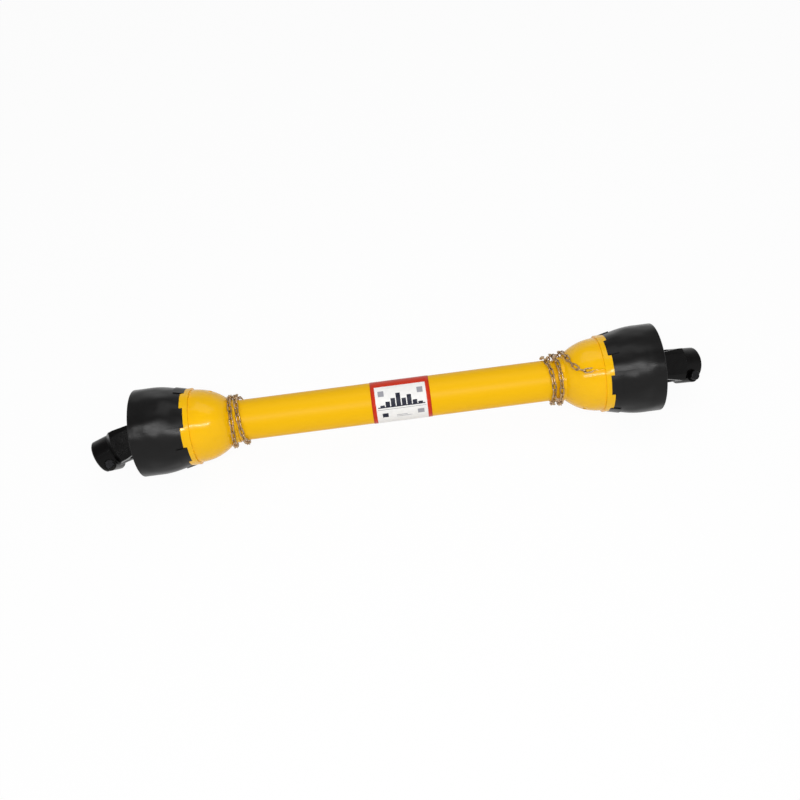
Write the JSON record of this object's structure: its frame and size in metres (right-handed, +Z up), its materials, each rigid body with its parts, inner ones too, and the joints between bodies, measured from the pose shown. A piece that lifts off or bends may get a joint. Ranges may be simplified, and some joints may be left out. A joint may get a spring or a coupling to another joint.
{
  "type": "pto drive shaft",
  "caption": "Telescoping tractor drive shaft with a universal joint at each end, a yellow tube guard, black cones and safety chains.",
  "frame": {"origin": "under the middle of the shaft, on the surface that the cones rest on", "axes": "+X along the shaft towards the implement end, +Z up"},
  "size_m": [1.0586, 0.1502, 0.1489],
  "materials": {
    "yoke_paint": "gloss",
    "spring_steel": "satin",
    "pin_steel": "satin",
    "bearing_steel": "satin",
    "seal_rubber": "matte",
    "nipple_steel": "satin",
    "tube_steel": "satin",
    "ring_nylon": "matte",
    "guard_black": "satin",
    "guard_yellow": "satin",
    "chain_zinc": "satin",
    "sticker_film": "satin"
  },
  "bodies": {
    "outer_shaft": {"inner_yoke_a": "yoke_paint", "inner_cups_a": "bearing_steel", "inner_circlips_a": "spring_steel", "roll_pin_a": "pin_steel", "outer_profile_tube": "tube_steel"},
    "inner_shaft": {"inner_yoke_b": "yoke_paint", "inner_cups_b": "bearing_steel", "inner_circlips_b": "spring_steel", "roll_pin_b": "pin_steel", "inner_profile_tube": "tube_steel"},
    "guard_a": {"guard_bell_a": "guard_yellow", "guard_cone_a": "guard_black", "bearing_ring_a": "ring_nylon", "outer_guard_tube": "guard_yellow", "tube_sticker": "sticker_film", "safety_chain_a": "chain_zinc", "chain_hook_a": "chain_zinc"},
    "guard_b": {"guard_bell_b": "guard_yellow", "guard_cone_b": "guard_black", "bearing_ring_b": "ring_nylon", "inner_guard_tube": "guard_yellow", "safety_chain_b": "chain_zinc", "chain_hook_b": "chain_zinc"},
    "cross_a": {"spider_a": "bearing_steel", "spider_seals_a": "seal_rubber", "grease_nipple_a": "nipple_steel"},
    "yoke_a": {"outer_yoke_a": "yoke_paint", "outer_cups_a": "bearing_steel", "outer_circlips_a": "spring_steel", "push_pin_spring_a": "spring_steel"},
    "pin_a": {"push_pin_a": "pin_steel", "push_pin_clip_a": "pin_steel"},
    "cross_b": {"spider_b": "bearing_steel", "spider_seals_b": "seal_rubber", "grease_nipple_b": "nipple_steel"},
    "yoke_b": {"outer_yoke_b": "yoke_paint", "outer_cups_b": "bearing_steel", "outer_circlips_b": "spring_steel", "push_pin_spring_b": "spring_steel"},
    "pin_b": {"push_pin_b": "pin_steel", "push_pin_clip_b": "pin_steel"}
  },
  "joints": [
    {"name": "shaft_slide", "type": "slide", "parent": "outer_shaft", "child": "inner_shaft", "axis": [1, 0, 0], "range_m": [0, 0.3]},
    {"name": "guard_a_spin", "type": "hinge", "parent": "outer_shaft", "child": "guard_a", "pos_m": [0, 0, 0.07387], "axis": [1, 0, 0], "continuous": true},
    {"name": "guard_b_spin", "type": "hinge", "parent": "inner_shaft", "child": "guard_b", "pos_m": [0, 0, 0.07387], "axis": [1, 0, 0], "continuous": true},
    {"name": "cross_a_tilt", "type": "hinge", "parent": "outer_shaft", "child": "cross_a", "pos_m": [-0.43, 0, 0.07387], "axis": [0, 0.7431, 0.6691], "range_deg": [-29, 35]},
    {"name": "yoke_a_tilt", "type": "hinge", "parent": "cross_a", "child": "yoke_a", "pos_m": [-0.43, 0, 0.07387], "axis": [0.0523, 0.6682, -0.7421], "range_deg": [-12.5, 51.5]},
    {"name": "push_pin_a_press", "type": "slide", "parent": "yoke_a", "child": "pin_a", "axis": [-0.0523, -0.6682, 0.7421], "range_m": [0, 0.008], "stiffness_N_per_m": 2500, "springref_m": -0.006, "deforming": ["push_pin_spring_a"]},
    {"name": "cross_b_tilt", "type": "hinge", "parent": "inner_shaft", "child": "cross_b", "pos_m": [0.43, 0, 0.07387], "axis": [0, 0.7431, 0.6691], "range_deg": [-52, 12]},
    {"name": "yoke_b_tilt", "type": "hinge", "parent": "cross_b", "child": "yoke_b", "pos_m": [0.43, 0, 0.07387], "axis": [0.342, -0.6288, 0.6983], "range_deg": [-30, 34]},
    {"name": "push_pin_b_press", "type": "slide", "parent": "yoke_b", "child": "pin_b", "axis": [-0.342, 0.6288, -0.6983], "range_m": [0, 0.008], "stiffness_N_per_m": 2500, "springref_m": -0.006, "deforming": ["push_pin_spring_b"]}
  ]
}
